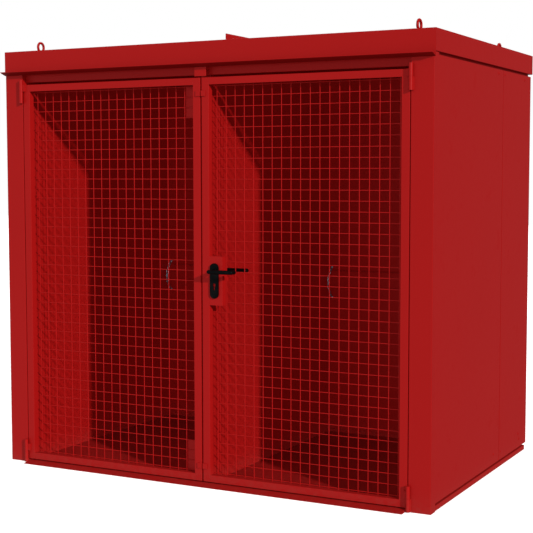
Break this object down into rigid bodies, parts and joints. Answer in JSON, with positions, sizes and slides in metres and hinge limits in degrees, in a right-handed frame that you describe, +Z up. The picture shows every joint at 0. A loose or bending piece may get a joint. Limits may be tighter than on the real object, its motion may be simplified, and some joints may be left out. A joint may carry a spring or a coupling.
{
  "type": "gas cylinder container",
  "caption": "Free-standing steel store for gas cylinders: insulated walls and roof round divided bays, closed by hinged mesh doors with a lever lock.",
  "frame": {"origin": "on the ground, at the centre of the footprint", "axes": "+X along the door front to the right, +Y from the doors to the back, +Z up"},
  "size_m": [2.395, 1.6036, 2.234],
  "materials": {
    "red_paint": "semi-gloss powder coat",
    "inner_paint": "satin powder coat",
    "mesh_paint": "semi-gloss powder coat",
    "black_fittings": "satin",
    "galvanised": "zinc plated"
  },
  "bodies": {
    "container": {"left_front_post": "red_paint", "right_front_post": "red_paint", "left_wall_wide_panel": "red_paint", "left_wall_narrow_panel": "red_paint", "right_wall_wide_panel": "red_paint", "right_wall_narrow_panel": "red_paint", "rear_wall_left_panel": "red_paint", "rear_wall_right_panel": "red_paint", "roof_panel": "red_paint", "front_fascia": "red_paint", "rear_fascia": "red_paint", "left_fascia": "red_paint", "right_fascia": "red_paint", "roof_rib": "red_paint", "head_beam": "red_paint", "head_keeper": "red_paint", "centre_post": "red_paint", "partition_panel": "inner_paint", "left_base_rail": "inner_paint", "right_base_rail": "inner_paint", "rear_base_rail": "inner_paint", "floor_plate": "inner_paint", "door_sill": "red_paint", "left_cylinder_rail": "inner_paint", "right_cylinder_rail": "inner_paint", "retaining_chains": "galvanised", "lifting_eyes": "red_paint", "post_hinges": "red_paint"},
    "left_leaf": {"left_leaf_stiles": "red_paint", "left_leaf_rails": "red_paint", "left_mesh_lower": "mesh_paint", "left_mesh_middle": "mesh_paint", "left_mesh_upper": "mesh_paint", "left_leaf_hinges": "red_paint", "left_leaf_bolts": "red_paint", "left_leaf_tabs": "red_paint"},
    "right_leaf": {"right_leaf_stiles": "red_paint", "right_leaf_rails": "red_paint", "right_mesh_lower": "mesh_paint", "right_mesh_middle": "mesh_paint", "right_mesh_upper": "mesh_paint", "right_leaf_hinges": "red_paint", "lock_case": "red_paint", "handle_plates": "black_fittings", "right_leaf_tabs": "red_paint"},
    "lever": {"lever_handles": "black_fittings"}
  },
  "joints": [
    {"name": "left_leaf_swing", "type": "hinge", "parent": "container", "child": "left_leaf", "pos_m": [-1.085, -0.74405, 0], "axis": [0, 0, -1], "range_deg": [0, 180]},
    {"name": "right_leaf_swing", "type": "hinge", "parent": "container", "child": "right_leaf", "pos_m": [1.085, -0.74405, 0], "axis": [0, 0, 1], "range_deg": [0, 180]},
    {"name": "lever_turn", "type": "hinge", "parent": "right_leaf", "child": "lever", "pos_m": [0.074, -0.71325, 1.063], "axis": [0, 1, 0], "range_deg": [0, 40], "stiffness_Nm_per_rad": 2, "springref_deg": -34.38}
  ]
}
